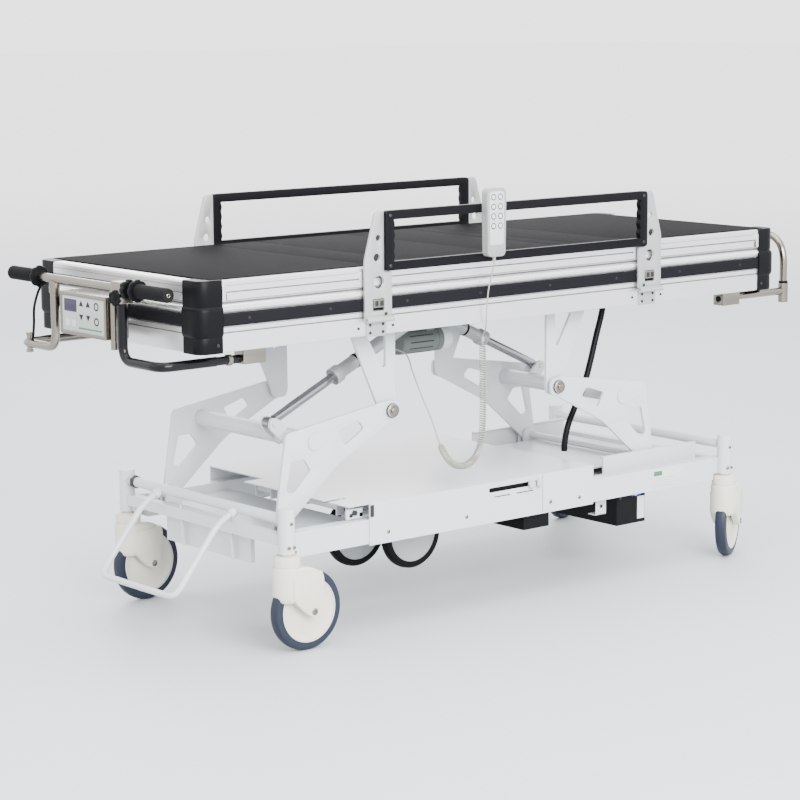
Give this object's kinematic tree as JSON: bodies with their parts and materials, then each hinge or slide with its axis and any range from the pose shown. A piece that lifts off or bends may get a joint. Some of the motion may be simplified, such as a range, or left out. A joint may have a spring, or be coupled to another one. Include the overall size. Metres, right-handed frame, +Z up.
{
  "type": "stretcher trolley",
  "caption": "Electric height-adjustable stretcher trolley with folding side rails, corded handset, swivel casters and push handles.",
  "frame": {"origin": "on the floor under the middle of the trolley", "axes": "+X towards the foot end, +Y towards the far side, +Z up"},
  "size_m": [2.176, 0.7917, 1.089],
  "materials": {
    "white_paint": "satin powder coat",
    "painted_bed_frame": "satin powder coat on aluminium",
    "aluminium_profile": "satin anodised",
    "rail_aluminium": "matt anodised",
    "stainless": "polished tube",
    "chrome_rod": "polished rod",
    "black_plastic": "moulded, fine grain",
    "black_paint": "satin black",
    "black_rubber": "matt rubber",
    "cream_plastic": "moulded, satin",
    "caster_tyre": "grey-blue rubber",
    "deck_mat": "dark grey ribbed mat",
    "motor_grey": "moulded",
    "handset_grey": "moulded, satin",
    "lead_grey": "soft cable sheath"
  },
  "bodies": {
    "base": {"base_frame": "white_paint", "base_cover": "white_paint", "battery_box": "black_plastic", "electronics_box": "black_plastic", "supply_hose": "black_plastic"},
    "fifth_arm": {"fifth_wheel_arm": "white_paint"},
    "fifth_near": {"fifth_wheel_near": "black_rubber"},
    "fifth_far": {"fifth_wheel_far": "black_rubber"},
    "brake": {"brake_bar": "white_paint"},
    "head_arms": {"head_arm_near": "white_paint", "head_arm_far": "white_paint", "head_cross_tube": "white_paint"},
    "deck": {"deck_subframe": "painted_bed_frame", "deck_mat": "deck_mat", "side_profile_near": "aluminium_profile", "side_profile_far": "aluminium_profile", "end_profile_head": "aluminium_profile", "end_profile_foot": "aluminium_profile", "corner_post_head_near": "black_plastic", "corner_post_head_far": "black_plastic", "corner_post_foot_near": "black_plastic", "corner_post_foot_far": "black_plastic", "bumper_near": "black_rubber", "bumper_far": "black_rubber", "bumper_head": "black_rubber", "bumper_foot": "black_rubber", "lift_motor": "motor_grey", "handset_lead_lower": "lead_grey", "handset_curl": "lead_grey", "handset_box_lead": "lead_grey", "push_handle": "stainless", "support_tube_near": "black_plastic", "push_grip_far": "black_rubber", "push_grip_near": "black_rubber", "control_panel": "rail_aluminium", "foot_handle": "stainless"},
    "foot_arms": {"foot_arm_near": "white_paint", "foot_arm_far": "white_paint", "foot_cross_tube": "white_paint"},
    "carriage": {"slider_carriage": "rail_aluminium"},
    "head_rod": {"head_actuator_rod": "chrome_rod"},
    "head_tube": {"head_actuator_tube": "rail_aluminium"},
    "foot_rod": {"foot_actuator_rod": "chrome_rod"},
    "foot_tube": {"foot_actuator_tube": "rail_aluminium"},
    "rail_near": {"rail_plate_head_near": "rail_aluminium", "rail_plate_foot_near": "rail_aluminium", "rail_frame_near": "black_paint", "handset": "handset_grey", "handset_lead_upper": "lead_grey"},
    "rail_far": {"rail_plate_head_far": "rail_aluminium", "rail_plate_foot_far": "rail_aluminium", "rail_frame_far": "black_paint"},
    "fork_head_near": {"caster_fork_head_near": "cream_plastic"},
    "wheel_head_near": {"caster_wheel_head_near": "caster_tyre"},
    "fork_head_far": {"caster_fork_head_far": "cream_plastic"},
    "wheel_head_far": {"caster_wheel_head_far": "caster_tyre"},
    "fork_foot_near": {"caster_fork_foot_near": "cream_plastic"},
    "wheel_foot_near": {"caster_wheel_foot_near": "caster_tyre"},
    "fork_foot_far": {"caster_fork_foot_far": "cream_plastic"},
    "wheel_foot_far": {"caster_wheel_foot_far": "caster_tyre"}
  },
  "joints": [
    {"name": "lift", "type": "hinge", "parent": "base", "child": "head_arms", "pos_m": [-0.67, 0, 0.303], "axis": [0, 1, 0], "range_deg": [0, 25], "deforming": ["handset_curl", "handset_box_lead", "supply_hose"]},
    {"name": "deck_level", "type": "hinge", "parent": "head_arms", "child": "deck", "pos_m": [-0.327, 0, 0.535], "axis": [0, 1, 0], "range_deg": [-25.5, 0.5]},
    {"name": "foot_arms_turn", "type": "hinge", "parent": "deck", "child": "foot_arms", "pos_m": [0.248, 0, 0.535], "axis": [0, 1, 0], "range_deg": [-25.5, 0.5]},
    {"name": "carriage_level", "type": "hinge", "parent": "foot_arms", "child": "carriage", "pos_m": [0.591, 0, 0.303], "axis": [0, 1, 0], "range_deg": [-0.5, 25.5]},
    {"name": "head_rod_turn", "type": "hinge", "parent": "head_arms", "child": "head_rod", "pos_m": [-0.617, -0.12, 0.521], "axis": [0, 1, 0], "range_deg": [-13.56, 0.5]},
    {"name": "head_rod_slide", "type": "slide", "parent": "head_rod", "child": "head_tube", "axis": [0.9063, 0, 0.4226], "range_m": [-0.06181, 0.001]},
    {"name": "foot_rod_turn", "type": "hinge", "parent": "foot_arms", "child": "foot_rod", "pos_m": [0.538, 0.15, 0.521], "axis": [0, 1, 0], "range_deg": [-0.5, 13.56]},
    {"name": "foot_rod_slide", "type": "slide", "parent": "foot_rod", "child": "foot_tube", "axis": [-0.9063, 0, 0.4226], "range_m": [-0.06181, 0.001]},
    {"name": "rail_near_fold", "type": "hinge", "parent": "deck", "child": "rail_near", "pos_m": [0.0095, -0.363, 0.786], "axis": [1, 0, 0], "range_deg": [0, 180]},
    {"name": "rail_far_fold", "type": "hinge", "parent": "deck", "child": "rail_far", "pos_m": [0.0095, 0.363, 0.786], "axis": [-1, 0, 0], "range_deg": [0, 180]},
    {"name": "brake_turn", "type": "hinge", "parent": "base", "child": "brake", "pos_m": [-0.736, 0, 0.326], "axis": [0, 1, 0], "range_deg": [-12, 12]},
    {"name": "fifth_lower", "type": "hinge", "parent": "base", "child": "fifth_arm", "pos_m": [0.06, 0, 0.205], "axis": [0, -1, 0], "range_deg": [0, 13]},
    {"name": "fifth_near_spin", "type": "hinge", "parent": "fifth_arm", "child": "fifth_near", "pos_m": [-0.11, -0.057, 0.16], "axis": [0, 1, 0], "continuous": true},
    {"name": "fifth_far_spin", "type": "hinge", "parent": "fifth_arm", "child": "fifth_far", "pos_m": [-0.206, 0.057, 0.16], "axis": [0, 1, 0], "continuous": true},
    {"name": "swivel_head_near", "type": "hinge", "parent": "base", "child": "fork_head_near", "pos_m": [-0.736, -0.3405, 0.2], "axis": [0, 0, 1], "continuous": true},
    {"name": "roll_head_near", "type": "hinge", "parent": "fork_head_near", "child": "wheel_head_near", "pos_m": [-0.681, -0.3405, 0.1], "axis": [0, 1, 0], "continuous": true},
    {"name": "swivel_head_far", "type": "hinge", "parent": "base", "child": "fork_head_far", "pos_m": [-0.736, 0.3405, 0.2], "axis": [0, 0, 1], "continuous": true},
    {"name": "roll_head_far", "type": "hinge", "parent": "fork_head_far", "child": "wheel_head_far", "pos_m": [-0.68113, 0.34434, 0.1], "axis": [-0.0698, 0.9976, 0], "continuous": true},
    {"name": "swivel_foot_near", "type": "hinge", "parent": "base", "child": "fork_foot_near", "pos_m": [0.796, -0.3405, 0.2], "axis": [0, 0, 1], "continuous": true},
    {"name": "roll_foot_near", "type": "hinge", "parent": "fork_foot_near", "child": "wheel_foot_near", "pos_m": [0.84363, -0.313, 0.1], "axis": [-0.5, 0.866, 0], "continuous": true},
    {"name": "swivel_foot_far", "type": "hinge", "parent": "base", "child": "fork_foot_far", "pos_m": [0.796, 0.3405, 0.2], "axis": [0, 0, 1], "continuous": true},
    {"name": "roll_foot_far", "type": "hinge", "parent": "fork_foot_far", "child": "wheel_foot_far", "pos_m": [0.84768, 0.35931, 0.1], "axis": [-0.342, 0.9397, 0], "continuous": true}
  ],
  "couplings": [
    {"joint": "deck_level", "follows": "lift", "ratio": -1},
    {"joint": "foot_arms_turn", "follows": "lift", "ratio": -1},
    {"joint": "carriage_level", "follows": "lift", "ratio": 1},
    {"joint": "head_rod_turn", "follows": "lift", "ratio": -0.5224},
    {"joint": "head_rod_slide", "follows": "lift", "m_per_rad": -0.13937},
    {"joint": "foot_rod_turn", "follows": "lift", "ratio": 0.5224},
    {"joint": "foot_rod_slide", "follows": "lift", "m_per_rad": -0.13937}
  ]
}
